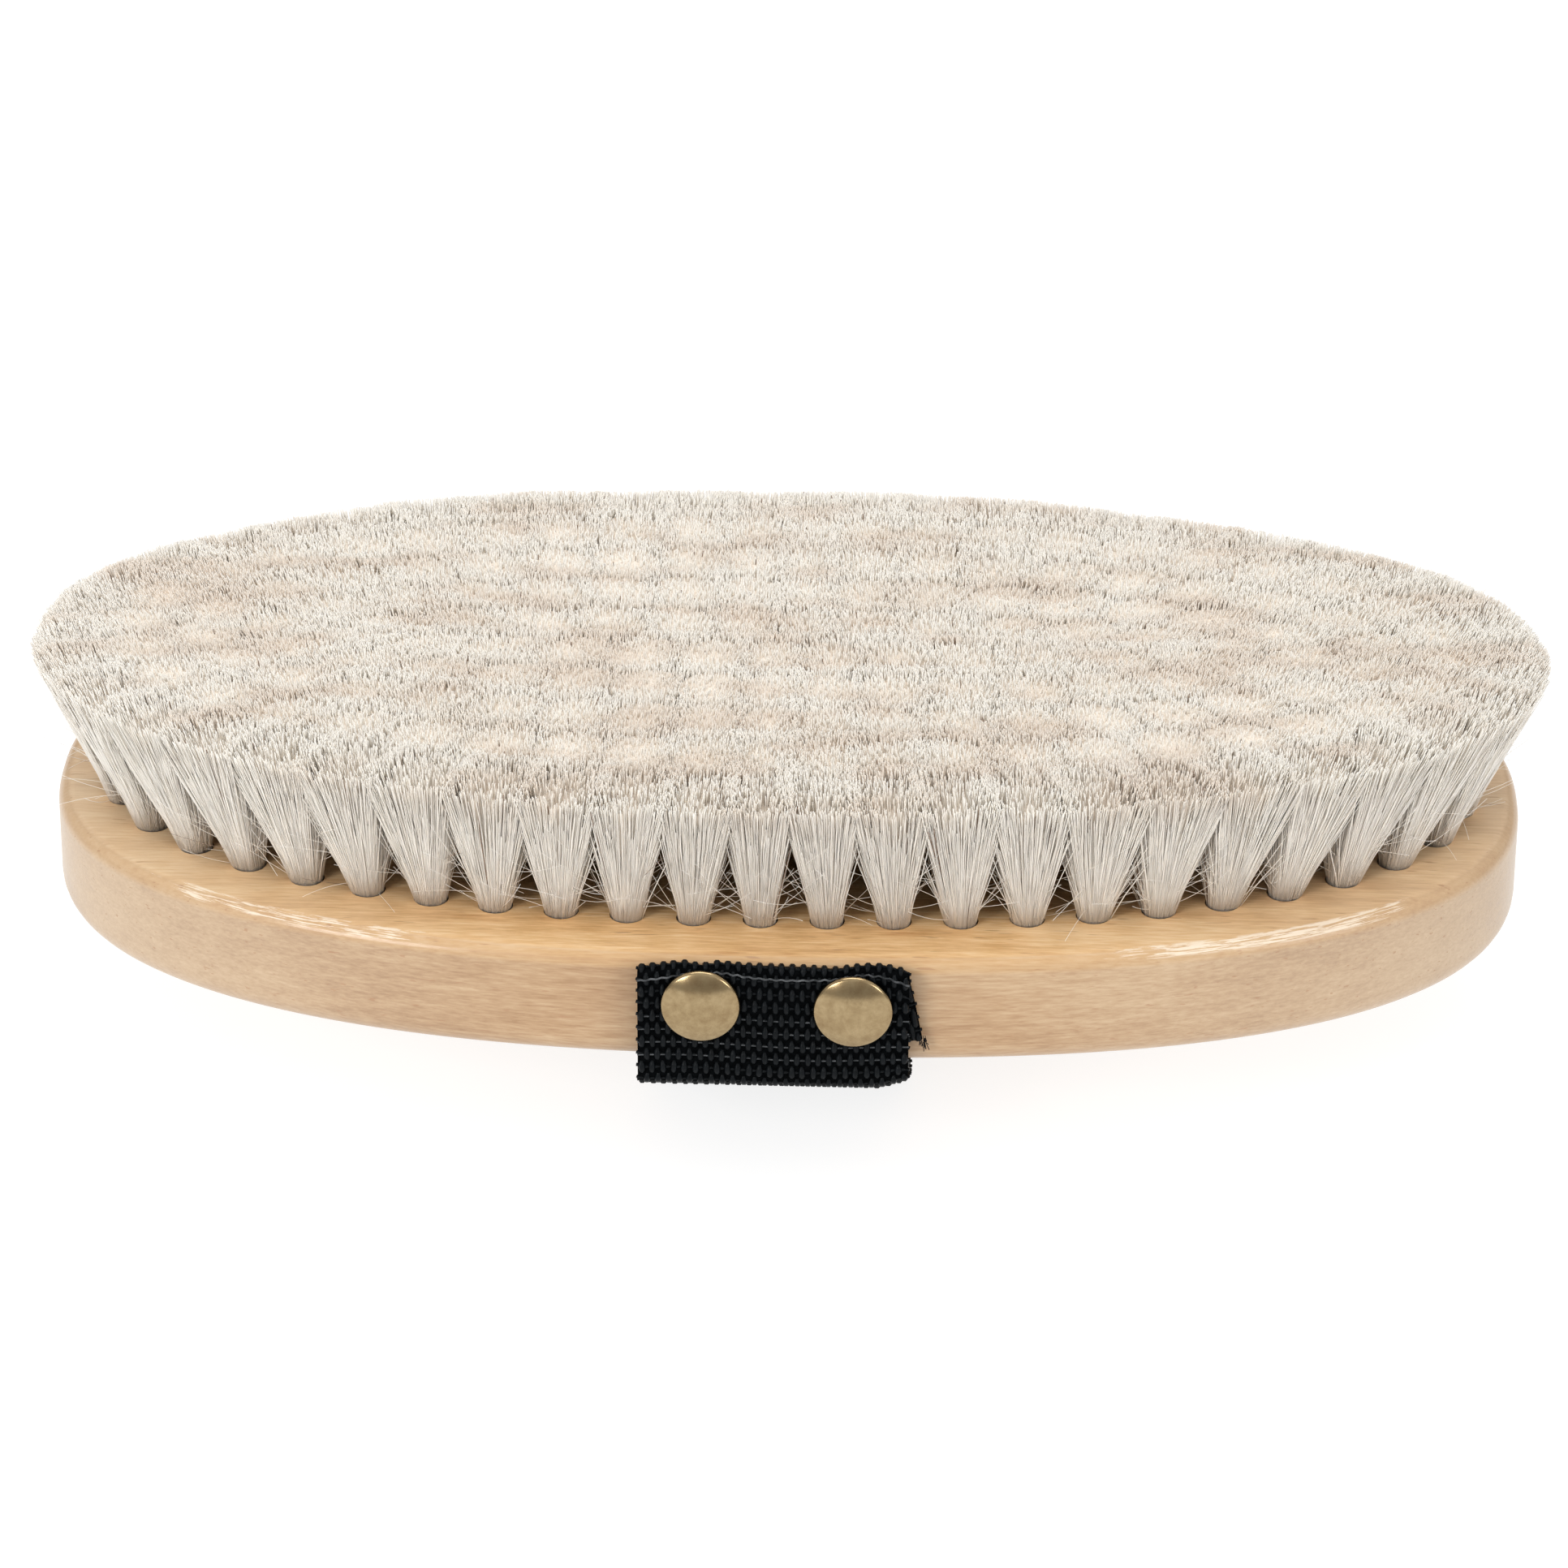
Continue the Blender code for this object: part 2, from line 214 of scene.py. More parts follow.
def hair_material(name, foot_colour, foot_share, foot_reach):
    """Goat hair: each strand its own cream or beige, pinker in wavy bands of the trimmed face."""
    n = Nodes(name)
    strand = n.add("ShaderNodeNewGeometry").outputs["Random Per Island"]
    height = n.add("ShaderNodeSeparateXYZ", {"Vector": n.place}).outputs["Z"]
    near_tip = n.remap(height, TOP_Z + 0.66 * HAIR_HEIGHT, TOP_Z + 0.97 * HAIR_HEIGHT)
    patches = n.noise(n.stretched((55.0, 150.0, 60.0)), 1.0, 2.0, 0.5)
    patch = n.maths("MULTIPLY", n.remap(patches, 0.42, 0.62, -0.2, 0.75), near_tip)
    tone = n.maths("ADD", n.maths("MULTIPLY", strand, 0.35), patch)
    colour = n.ramp(tone, (
        (0.0, (0.95, 0.89, 0.795)),
        (0.35, (0.92, 0.85, 0.75)),
        (0.70, (0.87, 0.78, 0.675)),
        (1.0, (0.81, 0.695, 0.585)),
    ))
    # Towards the foot the colour blends into the foot colour: a darker, warmer beige on the outer ring, and
    # on the inner rings a dark brown that is painted shade of the gaps between the tufts.
    foot = n.remap(height, TOP_Z, TOP_Z + foot_reach * HAIR_HEIGHT, foot_share, 0.0)
    colour = n.mix(foot, colour, foot_colour)
    odd = n.remap(strand, 0.996, 0.9961)
    colour = n.mix(odd, colour, (0.20, 0.13, 0.09))
    return n.shade(
        Base_Color=colour,
        Roughness=0.6,
        Specular_IOR_Level=0.2,
        Subsurface_Weight=0.6,
        Subsurface_Radius=(1.0, 1.0, 1.0),
        Subsurface_Scale=0.25 * MM,
    )


def hair_heart_material():
    """The shaded hair deep inside a tuft, painted a darker, warmer beige as shade, which tints the gaps
    between its outer strands.
    """
    n = Nodes("goat_hair_heart")
    streaks = n.noise(n.stretched((3000.0, 3000.0, 90.0)), 1.0, 2.0, 0.5)
    colour = n.ramp(streaks, ((0.35, (0.76, 0.66, 0.55)), (0.65, (0.92, 0.85, 0.76))))
    return n.shade(Base_Color=colour, Roughness=0.8, Specular_IOR_Level=0.1)


def wood_material():
    """Lacquered beech: grain along X, amber on the top and pinker round the sides, with the top also
    painted lighter than the sides as light falling from above, and a painted sheen of pale flecks on the
    rounded top edge.
    """
    n = Nodes("lacquered_beech")
    x_axis = n.add("ShaderNodeSeparateXYZ", {"Vector": n.place}).outputs["X"]
    facing = n.add("ShaderNodeSeparateXYZ", {"Vector": n.add("ShaderNodeNewGeometry").outputs["Normal"]})
    upward = facing.outputs["Z"]
    grain = n.noise(n.stretched((26.0, 420.0, 900.0)), 1.0, 4.0, 0.65)
    lines = n.noise(n.stretched((190.0, 1900.0, 2600.0)), 1.0, 3.0, 0.65)
    broad = n.noise(n.stretched((13.0, 60.0, 95.0)), 1.0, 3.0, 0.55)
    tone = n.maths("ADD", n.maths("MULTIPLY", grain, 0.28), n.maths("MULTIPLY", broad, 0.36))
    tone = n.maths("ADD", tone, n.maths("MULTIPLY", lines, 0.36))
    # Painted light: the side ramp is darker than the top ramp, so the top reads as lit from above; the
    # top's amber is partly the wood's own tone.
    side = n.ramp(tone, (
        (0.38, (0.33, 0.18, 0.08)),
        (0.50, (0.455, 0.285, 0.15)),
        (0.62, (0.56, 0.39, 0.23)),
    ))
    top = n.ramp(tone, (
        (0.38, (0.58, 0.31, 0.12)),
        (0.50, (0.79, 0.50, 0.235)),
        (0.62, (0.93, 0.68, 0.40)),
    ))
    colour = n.mix(n.remap(upward, 0.1, 0.8), side, top)
    from_middle = n.maths("ABSOLUTE", x_axis)
    ends = n.remap(from_middle, 0.3 * BLOCK_HALF[0], BLOCK_HALF[0], 0.0, 0.5)
    colour = n.mix(ends, colour, (0.64, 0.52, 0.385))
    edge_tone = n.maths("MULTIPLY", n.remap(upward, 0.1, 0.5, 0.0, 0.5), n.remap(upward, 1.0, 0.9))
    colour = n.mix(edge_tone, colour, (0.42, 0.25, 0.12))
    dashes = n.noise(n.stretched((210.0, 1900.0, 2400.0)), 1.0, 1.0, 0.4)
    colour = n.mix(n.remap(dashes, 0.70, 0.76, 0.0, 0.55), colour, (0.38, 0.19, 0.09))
    # Painted sheen: pale cream flecks along the rounded top edge, mostly 56 to 86 mm out from the middle
    # and a little more towards the right, stand in for the lamps' highlight in the lacquer; they are also
    # bumped a little.
    round_edge = {"X": n.maths("MULTIPLY", x_axis, 190.0), "Y": n.maths("MULTIPLY", upward, 16.0)}
    streaks = n.noise(n.add("ShaderNodeCombineXYZ", round_edge).outputs[0], 1.0, 4.0, 0.65)
    edge = n.maths("MULTIPLY", n.remap(upward, 0.5, 0.62), n.remap(upward, 0.998, 0.985))
    starts, stops = n.remap(from_middle, 44 * MM, 56 * MM), n.remap(from_middle, 98 * MM, 86 * MM)
    stretch = n.maths("MULTIPLY", starts, stops)
    chance = n.maths("ADD", n.maths("MULTIPLY", stretch, 0.26), n.remap(x_axis, 0.0, 60 * MM, 0.0, 0.05))
    painted_sheen_pattern = n.remap(n.maths("ADD", streaks, chance), 0.76, 0.82)
    painted_edge_sheen = n.maths("MULTIPLY", edge, painted_sheen_pattern)
    # Painted highlight: the sheen flecks turn the wood pale cream.
    colour = n.mix(n.maths("MULTIPLY", painted_edge_sheen, 0.65), colour, (0.95, 0.86, 0.72))
    worn = n.noise(n.place, 420.0, 3.0, 0.6)
    relief = n.maths("ADD", n.maths("MULTIPLY", lines, 0.6), n.maths("MULTIPLY", worn, 0.8))
    relief = n.maths("ADD", relief, n.maths("MULTIPLY", painted_edge_sheen, 0.5))
    return n.shade(
        Base_Color=colour,
        Roughness=n.remap(grain, 0.3, 0.7, 0.42, 0.55),
        Normal=n.bump(relief, 0.3, 0.00022),
        Coat_Weight=0.4,
        Coat_Roughness=0.12,
    )


def webbing_material():
    """Black polypropylene yarn with a faint blue cast and a dull shine on its high spots."""
    n = Nodes("black_webbing")
    fibres = n.noise(n.stretched((5200.0, 900.0, 900.0)), 1.0, 2.0, 0.6)
    mottle = n.noise(n.place, 900.0, 2.0, 0.5)
    colour = n.ramp(n.maths("ADD", n.maths("MULTIPLY", fibres, 0.6), n.maths("MULTIPLY", mottle, 0.4)), (
        (0.30, (0.0012, 0.0018, 0.0024)),
        (0.70, (0.0050, 0.0068, 0.0085)),
    ))
    return n.shade(
        Base_Color=colour,
        Roughness=0.42,
        Specular_IOR_Level=0.11,
        Normal=n.bump(fibres, 0.5, 0.00012),
    )


def webbing_shade_material():
    """The matt black between the yarns of the webbing, darker than the yarn as painted shade."""
    n = Nodes("webbing_ground")
    colour = n.ramp(n.noise(n.place, 1200.0), (
        (0.35, (0.0008, 0.0010, 0.0012)),
        (0.65, (0.0022, 0.0026, 0.0030)),
    ))
    return n.shade(Base_Color=colour, Roughness=0.9, Specular_IOR_Level=0.02)


def thread_and_glint_material():
    """A grey yarn, lighter than the webbing: the thread under each fold, and the painted glints of the weft
    between the floats.
    """
    n = Nodes("grey_thread_and_glints")
    colour = n.ramp(n.noise(n.place, 700.0), ((0.35, (0.010, 0.012, 0.014)), (0.65, (0.095, 0.10, 0.105))))
    return n.shade(Base_Color=colour, Roughness=0.5, Specular_IOR_Level=0.25)


def brass_material():
    """Brass plate with fine scratches and darker tarnish."""
    n = Nodes("nail_brass")
    tarnish = n.noise(n.place, 500.0, 5.0, 0.7)
    colour = n.ramp(tarnish, (
        (0.30, (0.27, 0.185, 0.095)),
        (0.55, (0.37, 0.275, 0.15)),
        (0.80, (0.45, 0.345, 0.20)),
    ))
    fine = n.noise(n.stretched((5200.0, 2600.0, 900.0)), 1.0, 2.0, 0.5)
    return n.shade(
        Base_Color=colour,
        Metallic=1.0,
        Roughness=n.remap(tarnish, 0.3, 0.8, 0.24, 0.15),
        Normal=n.bump(fine, 0.10, 0.00005),
    )


def floor_material():
    """Matt white card, lit a little from below as on a light table."""
    n = Nodes("studio_floor")
    return n.shade(
        Base_Color=(0.3, 0.3, 0.3, 1.0),
        Roughness=0.9,
        Specular_IOR_Level=0.1,
        Emission_Color=(1.0, 1.0, 1.0, 1.0),
        Emission_Strength=0.82,
    )


# ---------------------------------------------------------------- shapes


def superellipse(half, power, angle):
    """Points of |x/a|^n + |y/b|^n = 1 at parameter angles; half may be one pair or one pair per angle."""
    cos, sin = np.cos(angle), np.sin(angle)
    x = np.sign(cos) * np.abs(cos) ** (2 / power)
    y = np.sign(sin) * np.abs(sin) ** (2 / power)
    half = np.asarray(half)
    return np.stack((half[..., 0] * x, half[..., 1] * y), axis=-1)


def ring_half(ring):
    return RING_HALF - RING_STEP * ring


def ring_angle(ring, places):
    """Parameter angles at places counted in pitches along a ring, from the middle of the front."""
    angles = np.linspace(-math.pi / 2, 1.5 * math.pi, 4001)
    points = superellipse(ring_half(ring), RING_POWER, angles)
    steps = np.linalg.norm(np.diff(points, axis=0), axis=1)
    lengths = np.concatenate(([0.0], np.cumsum(steps))) / steps.sum()
    return np.interp(np.asarray(places) / RING_COUNTS[ring] % 1.0, lengths, angles)


def tuft_places(ring):
    return np.arange(RING_COUNTS[ring]) + 0.5 + RING_PHASE


def mesh_object(name, points, faces, material, smooth=True):
    """One object from an array of points and one array of equal-sided faces, or a list of such arrays."""
    faces = [np.asarray(f) for f in (faces if isinstance(faces, list) else [faces])]
    sizes = np.concatenate([np.full(len(f), f.shape[1]) for f in faces])
    corners = np.concatenate([f.ravel() for f in faces]).astype(np.int32)
    mesh = bpy.data.meshes.new(name)
    mesh.vertices.add(len(points))
    mesh.vertices.foreach_set("co", np.asarray(points, np.float32).ravel())
    mesh.loops.add(len(corners))
    mesh.loops.foreach_set("vertex_index", corners)
    mesh.polygons.add(len(sizes))
    mesh.polygons.foreach_set("loop_start", np.concatenate(([0], np.cumsum(sizes)[:-1])).astype(np.int32))
    mesh.update(calc_edges=True)
    mesh.polygons.foreach_set("use_smooth", np.full(len(sizes), smooth))
    mesh.materials.append(material)
    obj = bpy.data.objects.new(name, mesh)
    bpy.context.scene.collection.objects.link(obj)
    return obj


def tubes(paths, radii, across, sides):
    """Tubes along many paths at once, closed at both ends.

    paths is (tubes, rows, 3), radii (tubes, rows) or (tubes, rows, 2) for width and thickness, and across
    (tubes, rows, 3) the direction of the width. Returns points and a list of face arrays.
    """
    count, rows, _ = paths.shape
    along = np.gradient(paths, axis=1)
    along /= np.linalg.norm(along, axis=2, keepdims=True)
    across = across - along * (across * along).sum(2, keepdims=True)
    across /= np.linalg.norm(across, axis=2, keepdims=True)
    lift = np.cross(along, across)
    if radii.ndim == 2:
        radii = np.stack((radii, radii), axis=2)
    turn = np.arange(sides) * 2 * math.pi / sides
    rings = (
        paths[:, :, None]
        + across[:, :, None] * (np.cos(turn)[:, None] * radii[:, :, None, :1])
        + lift[:, :, None] * (np.sin(turn)[:, None] * radii[:, :, None, 1:])
    )
    index = np.arange(count * rows * sides).reshape(count, rows, sides)
    low, high = index[:, :-1], index[:, 1:]
    sides_of = np.stack((low, np.roll(low, -1, 2), np.roll(high, -1, 2), high), axis=-1).reshape(-1, 4)
    return rings.reshape(-1, 3), [sides_of, index[:, 0, ::-1], index[:, -1]]


def lofted(rows):
    """Points and faces of a closed skin through equal rows of points, capped at both ends."""
    rows = np.asarray(rows)
    count, around, _ = rows.shape
    index = np.arange(count * around).reshape(count, around)
    low, high = index[:-1], index[1:]
    sides = np.stack((low, np.roll(low, -1, 1), np.roll(high, -1, 1), high), axis=-1).reshape(-1, 4)
    return rows.reshape(-1, 3), [sides, index[:1, ::-1], index[-1:]]


# ---------------------------------------------------------------- hair


def face_wave(points):
    """Gentle unevenness of the trimmed face, as a change of height."""
    x, y = points[..., 0] / MM, points[..., 1] / MM
    return MM * (
        0.22 * np.sin(x / 13.0 + 0.6 * np.sin(y / 9.0))
        + 0.16 * np.sin(y / 5.5 + x / 31.0 + 1.3)
        + 0.12 * np.sin((x + y) / 4.2)
    )


def hair_targets(ring, place, u, v):
    """Where hairs of one tuft reach the trimmed face, for u along the ring and v towards the rim."""
    angle = ring_angle(ring, place + u / 2)
    edge = ring + (1 - v) / 2
    half = FACE_HALF - FACE_STEP * edge[:, None]
    half[:, 1] = np.maximum(half[:, 1], 0.2 * MM)
    return superellipse(half, FACE_POWER, angle)


def pulled_to_clumps(rng, u, v):
    """Tips drawn towards the nearest of a few random points, which gives the hair its streaks.

    Also returns which clump each hair is in.
    """
    centres = rng.uniform(-1, 1, (CLUMPS, 2))
    gaps = (u[:, None] - centres[:, 0]) ** 2 + (v[:, None] - centres[:, 1]) ** 2
    clump = gaps.argmin(axis=1)
    near = centres[clump]
    return u + (near[:, 0] - u) * CLUMP_PULL, v + (near[:, 1] - v) * CLUMP_PULL, clump


def tuft_frame(ring, place):
    """Centre of a tuft's hole, and unit directions along its ring and out towards the rim."""
    angles = ring_angle(ring, [place - 0.01, place, place + 0.01])
    centre = superellipse(ring_half(ring), RING_POWER, angles)
    tangent = centre[2] - centre[0]
    tangent /= np.linalg.norm(tangent)
    return centre[1], tangent, np.array((tangent[1], -tangent[0]))


def tuft_hairs(rng, ring, place, count, shares, skin=0.0):
    """Centre lines of one tuft's hairs and their radii.

    shares are the rows' places between foot and tip; the share called skin of the hairs lies on the tuft's
    outside, where they show. Most hairs keep close to their lock, some spread and a few stray. In the outer
    ring some of the outermost hairs are cut short, and the tips round off the rim.
    """
    centre, tangent, outward = tuft_frame(ring, place)
    u, v = rng.uniform(-1, 1, (2, count))
    kind = rng.random(count)
    edge = 1 - np.abs(rng.normal(0, 0.06, count))
    v = np.where(kind < 0.5 * skin, edge, v)
    u = np.where((kind >= 0.5 * skin) & (kind < skin), np.sign(u) * edge, u)
    disc = TUFT_RADIUS * (
        tangent * (u * np.sqrt(1 - v**2 / 2))[:, None] + outward * (v * np.sqrt(1 - u**2 / 2))[:, None]
    )
    tip_u, tip_v, clump = pulled_to_clumps(rng, u, v)
    wildness = rng.random(count)
    loose = np.select((wildness < 0.04, wildness < 0.3), (0.55, 0.24), 0.07)
    tip_u = tip_u * FLARE + rng.normal(0, 1, count) * loose
    tip_v = tip_v * FLARE + rng.normal(0, 1, count) * loose
    if ring == 0:
        tip_v = 1 - np.abs(1 - tip_v)
    target = hair_targets(ring, place, tip_u, tip_v)
    root = centre + disc
    shorter = np.abs(rng.normal(0, 0.13 * MM, count))
    shorter += (rng.random(count) < 0.06) * rng.uniform(0.2 * MM, 1.0 * MM, count)
    if ring == 0:
        outside = np.clip((v - 0.45) / 0.4, 0, 1)
        shorter += outside * (rng.random(count) < 0.6) * rng.random(count) ** 1.3 * 9 * MM
        rim = np.clip((tip_v - 0.1) / 0.9, 0, 1)
        shorter += (SHOULDER_DROP + rng.uniform(-0.4 * MM, 0.5 * MM, CLUMPS)[clump]) * rim**2
    reach = 1 + (face_wave(target) - shorter) / HAIR_HEIGHT
    start = shares[0]
    share = start + (reach[:, None] - start) * (np.asarray(shares) - start) / (1 - start)
    spread = np.clip(share, 0, 2)
    level = root[:, None] + (target - root)[:, None] * spread[..., None]
    wave = rng.uniform(0.05, 0.42, (count, 1)) * MM * np.clip(share, 0, 1)
    phase = rng.uniform(0, 2 * math.pi, (2, count, 1))
    turns = rng.uniform(0.4, 1.3, (count, 1)) * 2 * math.pi
    level[..., 0] += wave * np.sin(share * turns + phase[0])
    level[..., 1] += wave * np.sin(share * turns + phase[1])
    height = TOP_Z + share * HAIR_HEIGHT
    paths = np.concatenate((level, height[..., None]), axis=2)
    thick = rng.uniform(*HAIR_RADII, (count, 1)) * MM
    return paths, thick * np.linspace(1.0, 0.85, len(shares))


def any_across(rng, count, rows):
    turn = rng.uniform(0, 2 * math.pi, (count, 1))
    flat = np.stack((np.cos(turn), np.sin(turn), 0 * turn), axis=-1)
    return np.repeat(flat, rows, axis=1)


def stray_hairs(rng, place, count, rows):
    """Loose hairs that leave the foot of an outer tuft sideways and cross the gaps beside it."""
    centre, tangent, outward = tuft_frame(0, place)
    side = np.where(rng.random(count) < 0.5, -1.0, 1.0)
    out = rng.uniform(-0.2, 1.3, count)
    level = tangent * side[:, None] * 0.9 + outward * out[:, None]
    root = centre + TUFT_RADIUS * level / np.linalg.norm(level, axis=1, keepdims=True) * 0.95
    root_z = TOP_Z + rng.uniform(0.3, 8.0, count) * MM
    length = rng.uniform(5, 16, count) * MM
    climb = rng.uniform(0.1, 1.9, count)
    bend = rng.uniform(-0.5, 0.7, count)
    share = np.linspace(0, 1, rows)
    heading = level + rng.normal(0, 0.3, (count, 2))
    heading /= np.linalg.norm(heading, axis=1, keepdims=True)
    run = length[:, None] * share
    rise = climb[:, None] * run + (bend * length)[:, None] * share**2 * 0.5
    slant = np.sqrt(1 + climb[:, None] ** 2)
    paths = np.zeros((count, rows, 3))
    paths[..., :2] = root[:, None] + heading[:, None] * (run / slant)[..., None]
    paths[..., 2] = np.minimum(root_z[:, None] + rise / slant, TOP_Z + HAIR_HEIGHT)
    return paths, np.full((count, rows), STRAY_RADIUS * MM) * np.linspace(1, 0.6, rows)


def tuft_core(ring, place, high, fill, dip):
    """A plain bundle inside a tuft, which closes it to light between its hairs.

    It fills the share fill of the tuft up to the share high, and less by the share dip towards the rim.
    """
    centre, tangent, outward = tuft_frame(ring, place)
    turn = np.arange(CORE_POINTS) * 2 * math.pi / CORE_POINTS
    rows = []
    for middle in (CORE_FOOT, (CORE_FOOT + high) / 2, high):
        u, v = fill * np.cos(turn), fill * np.sin(turn)
        share = middle * (1 - dip * np.clip(v, 0, 1))
        target = hair_targets(ring, place, u, v)
        root = centre + TUFT_RADIUS * (tangent * u[:, None] + outward * v[:, None])
        level = root + (target - root) * np.maximum(share, 0)[:, None]
        rows.append(np.column_stack((level, TOP_Z + share * HAIR_HEIGHT)))
    return lofted(rows)


def hair_object(name, bundles, cores, rng, materials):
    """One mesh of strands, with the plain bundles inside them as its second material."""
    points, faces, before = [], [], 0
    made = [tubes(paths, radii, any_across(rng, *paths.shape[:2]), HAIR_SIDES) for paths, radii in bundles]
    for bundle, groups in made + cores:
        points.append(bundle)
        faces.extend(group + before for group in groups)
        before += len(bundle)
    obj = mesh_object(name, np.concatenate(points), faces, materials[0])
    obj.data.materials.append(materials[1])
    heart = sum(len(group) for _, groups in cores for group in groups)
    index = np.zeros(len(obj.data.polygons), np.int32)
    index[-heart:] = 1
    obj.data.polygons.foreach_set("material_index", index)
    return obj


def add_hair(outer_material, inner_material, heart_material):
    """One piece for each tuft of the outer ring, and a few for each inner ring."""
    for i, place in enumerate(tuft_places(0)):
        rng = np.random.default_rng(OUTER_SEED + i)
        bundles = [
            tuft_hairs(rng, 0, place, OUTER_HAIRS, OUTER_BENDS, SKIN_SHARE),
            stray_hairs(rng, place, STRAY_HAIRS, len(OUTER_BENDS)),
        ]
        node = f"tuft_{i + 1:02d}"
        cores = [tuft_core(0, place, *OUTER_CORE)]
        made = hair_object(f"hair_{node}", bundles, cores, rng, (outer_material, heart_material))
        finish_piece(made, "goat_hair", node)
    for ring in range(1, len(RING_COUNTS)):
        rng = np.random.default_rng(INNER_SEED + ring)
        bends = SECOND_BENDS if ring == 1 else INNER_BENDS
        node = f"tuft_ring_{ring + 1}"
        for part, places in enumerate(np.array_split(tuft_places(ring), RING_PIECES[ring - 1])):
            bundles = [tuft_hairs(rng, ring, place, INNER_HAIRS, bends) for place in places]
            cores = [tuft_core(ring, place, *INNER_CORE) for place in places]
            name, materials = f"hair_{node}_{part + 1}", (inner_material, heart_material)
            finish_piece(hair_object(name, bundles, cores, rng, materials), "goat_hair", node)


# ---------------------------------------------------------------- block


def block_profile():
    """(inset, height) up the side, with a fine quarter round at each edge."""
    turn = np.linspace(0, math.pi / 2, EDGE_POINTS)
    back = np.stack((BACK_ROUND * (1 - np.sin(turn)), BACK_Z + BACK_ROUND * (1 - np.cos(turn))), axis=1)
    top = np.stack((TOP_ROUND * (1 - np.cos(turn)), TOP_Z - TOP_ROUND * (1 - np.sin(turn))), axis=1)
    return np.concatenate((back, top))


def hole_cutter():
    """All the tuft holes as one mesh of short rods."""
    turn = np.arange(HOLE_POINTS) * 2 * math.pi / HOLE_POINTS
    rim = np.stack((np.cos(turn), np.sin(turn)), axis=1) * HOLE_RADIUS
    points, faces, before = [], [], 0
    for ring in range(len(RING_COUNTS)):
        for centre in superellipse(ring_half(ring), RING_POWER, ring_angle(ring, tuft_places(ring))):
            rows = [
                np.column_stack((centre + rim, np.full(len(rim), z)))
                for z in (TOP_Z - HOLE_DEPTH, TOP_Z + 1 * MM)
            ]
            made, groups = lofted(rows)
            points.append(made)
            faces.extend(group + before for group in groups)
            before += len(made)
    cut = bpy.data.materials.new("cut")
    return mesh_object("hole_cutter", np.concatenate(points), faces, cut, smooth=False)


def add_block(material):
    angles = np.linspace(0, 2 * math.pi, BLOCK_POINTS, endpoint=False)
    rows = []
    for inset, z in block_profile():
        outline = superellipse(BLOCK_HALF - inset, BLOCK_POWER, angles)
        rows.append(np.column_stack((outline, np.full(len(outline), z))))
    block = mesh_object("lacquered_block", *lofted(rows), material)
    cutter = hole_cutter()
    modifier = block.modifiers.new("holes", "BOOLEAN")
    modifier.object = cutter
    modifier.operation = "DIFFERENCE"
    modifier.material_mode = "INDEX"
    graph = bpy.context.evaluated_depsgraph_get()
    drilled = bpy.data.meshes.new_from_object(block.evaluated_get(graph))
    block.modifiers.clear()
    block.data = drilled
    drilled.set_sharp_from_angle(angle=math.radians(40))
    bpy.data.objects.remove(cutter)
    finish_piece(block, "beech", "block")


# ---------------------------------------------------------------- strap


def rounded(corners, radii, steps):
    """Polyline through corners with an arc of the given radius at each inner one."""
    path = [corners[0]]
    for before, corner, after, radius in zip(corners, corners[1:], corners[2:], radii):
        into, out = (before - corner).normalized(), (after - corner).normalized()
        half_angle = into.angle(out) / 2
        reach = radius / math.tan(half_angle)
        centre = corner + (into + out).normalized() * radius / math.sin(half_angle)
        start = (corner + into * reach - centre).normalized()
        end = (corner + out * reach - centre).normalized()
        path.extend(centre + start.slerp(end, i / steps) * radius for i in range(steps + 1))
    path.append(corners[-1])
    return np.array(path)


def strap_line():
    """Centre line of the webbing in the YZ plane, from one tucked end under the block to the other."""
    tucked = BLOCK_HALF[1] + STRAP_GAP + WEB_THICK / 2
    outer = tucked + WEB_THICK + STRAP_GAP
    fold = TOP_Z + FOLD_ABOVE_TOP - WEB_THICK / 2
    half = [
        Vector((-tucked, TOP_Z - TUCK_LENGTH)),
        Vector((-tucked, fold)),
        Vector((-outer, fold)),
        Vector((-outer, BEND_Z)),
        Vector((-REST_HALF, WEB_THICK / 2)),
    ]
    fold_radius = (outer - tucked) / 2 * 0.999
    radii = [fold_radius, fold_radius, BEND_RADIUS, REST_RADIUS]
    return rounded(half + [Vector((-p.x, p.y)) for p in reversed(half)], radii + radii[::-1], 8)


class StrapSurface:
    """Maps (across, along, off) of the flat webbing to where it lies on the brush."""

    def __init__(self):
        self.line = strap_line()
        steps = np.linalg.norm(np.diff(self.line, axis=0), axis=1)
        self.reach = np.concatenate(([0.0], np.cumsum(steps)))
        self.length = self.reach[-1]

    def on_line(self, along):
        return np.interp(along, self.reach, self.line[:, 0]), np.interp(along, self.reach, self.line[:, 1])

    def at(self, across, along, off):
        """Points in space, with the folded edge's wave, the curled right corner and the shifted ends."""
        step = 0.15 * MM
        along = np.clip(along, 0, self.length)
        y, z = self.on_line(along)
        (y0, z0), (y1, z1) = self.on_line(along - step), self.on_line(along + step)
        size = np.hypot(y1 - y0, z1 - z0)
        y, z = y - off * (z1 - z0) / size, z + off * (y1 - y0) / size
        across = across + 0 * y
        fold = np.clip((z - TOP_Z + 6 * MM) / (4 * MM), 0, 1)
        curl = np.clip((across - 15.5 * MM) / (4.5 * MM), 0, 1)
        low = np.clip((22 * MM - z) / (5 * MM), 0, 1) * np.clip((-y - 36 * MM) / (14 * MM), 0, 1)
        knots, rises = np.transpose(FOLD_WAVE) * MM
        z = z + fold * np.interp(across, knots, rises) + 1.5 * MM * curl * low
        near_end = np.minimum(along, self.length - along)
        across = across + TUCK_SHIFT * np.clip(1 - near_end / (11 * MM), 0, 1)
        return np.stack((across, y, z), axis=-1)


